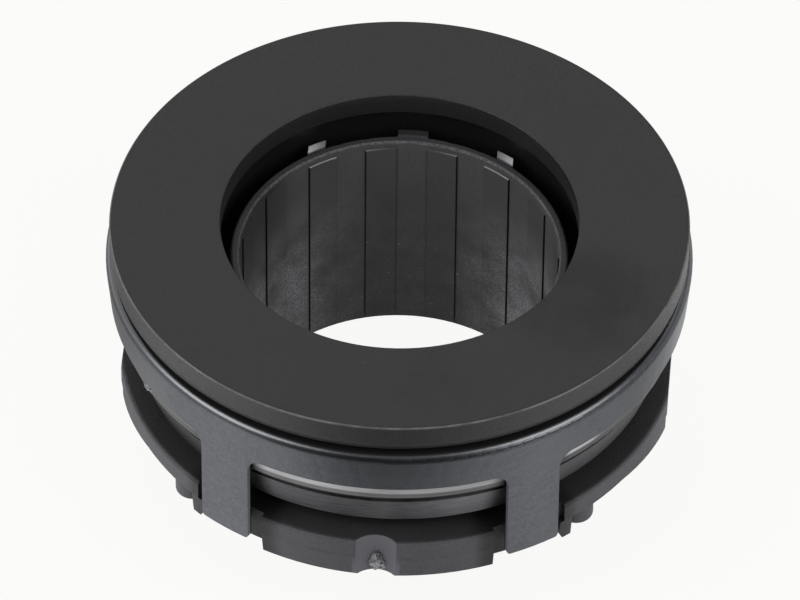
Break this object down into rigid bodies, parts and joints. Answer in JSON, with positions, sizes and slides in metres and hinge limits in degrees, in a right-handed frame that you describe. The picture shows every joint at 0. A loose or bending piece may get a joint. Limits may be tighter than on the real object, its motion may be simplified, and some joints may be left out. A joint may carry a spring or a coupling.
{
  "type": "clutch release bearing",
  "caption": "Self-centring clutch release bearing: a ball bearing with a broad thrust face, held on a grooved plastic guide sleeve by a pressed steel cover with hooked legs.",
  "frame": {"origin": "centre of the guide sleeve's lower end", "axes": "+Z along the bore, towards the thrust face; the front block, with the gate mark, lies towards -Y"},
  "size_m": [0.0712, 0.0712, 0.036],
  "materials": {
    "sleeve_plastic": "black moulded plastic, satin",
    "black_steel": "turned steel with a matt black coating",
    "cover_steel": "pressed sheet, dark and satin",
    "ring_steel": "pressed sheet, dark and satin",
    "bearing_steel": "ground steel",
    "spring_steel": "spring strip, dark",
    "seal_rubber": "black rubber",
    "cage_plastic": "moulded plastic, brown"
  },
  "bodies": {
    "guide_sleeve": {"guide_sleeve": "sleeve_plastic"},
    "wave_spring": {"wave_spring": "spring_steel"},
    "housing": {"retaining_cover": "cover_steel", "outer_ring": "bearing_steel", "support_ring": "ring_steel", "upper_seal": "seal_rubber", "lower_seal": "seal_rubber"},
    "thrust_ring": {"thrust_ring": "black_steel"},
    "ball_set": {"ball_cage": "cage_plastic", "ball_01": "bearing_steel", "ball_02": "bearing_steel", "ball_03": "bearing_steel", "ball_04": "bearing_steel", "ball_05": "bearing_steel", "ball_06": "bearing_steel", "ball_07": "bearing_steel", "ball_08": "bearing_steel", "ball_09": "bearing_steel", "ball_10": "bearing_steel", "ball_11": "bearing_steel", "ball_12": "bearing_steel", "ball_13": "bearing_steel", "ball_14": "bearing_steel", "ball_15": "bearing_steel", "ball_16": "bearing_steel"}
  },
  "joints": [
    {"name": "shift_x", "type": "slide", "parent": "guide_sleeve", "child": "wave_spring", "axis": [1, 0, 0], "range_m": [-0.0006, 0.0006]},
    {"name": "shift_y", "type": "slide", "parent": "wave_spring", "child": "housing", "axis": [0, 1, 0], "range_m": [-0.0006, 0.0006]},
    {"name": "thrust_spin", "type": "hinge", "parent": "housing", "child": "thrust_ring", "pos_m": [0, 0, 0.0265], "axis": [0, 0, 1], "continuous": true},
    {"name": "ball_roll", "type": "hinge", "parent": "housing", "child": "ball_set", "pos_m": [0, 0, 0.0265], "axis": [0, 0, 1], "continuous": true}
  ],
  "couplings": [
    {"joint": "ball_roll", "follows": "thrust_spin", "ratio": 0.4428}
  ]
}
